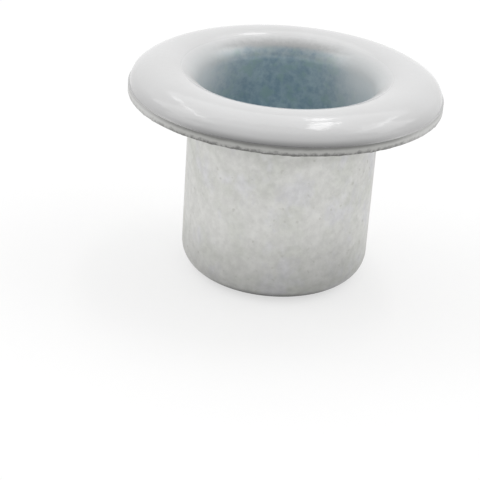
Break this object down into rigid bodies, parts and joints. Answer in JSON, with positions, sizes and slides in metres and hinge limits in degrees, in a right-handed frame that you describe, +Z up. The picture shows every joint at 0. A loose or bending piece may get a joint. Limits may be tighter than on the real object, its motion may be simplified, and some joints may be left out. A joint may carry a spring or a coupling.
{
  "type": "grommet eyelet",
  "caption": "Deep-drawn sheet metal eyelet with a long straight barrel, a bell throat and a domed flange with a trimmed lip, to line a punched hole in cloth or leather.",
  "frame": {"origin": "centre of the barrel's end, on the surface that the eyelet stands on", "axes": "+Z up along the bore's axis, from the barrel's pierced end to the flange's crown; the eyelet is turned about Z, so X and Y are free"},
  "size_m": [0.009, 0.009, 0.0062],
  "materials": {
    "coated_sheet": "gloss off-white coating on the flange, thinning out in the throat; bare matt grey barrel"
  },
  "bodies": {
    "root": {"eyelet": "coated_sheet"}
  },
  "joints": []
}
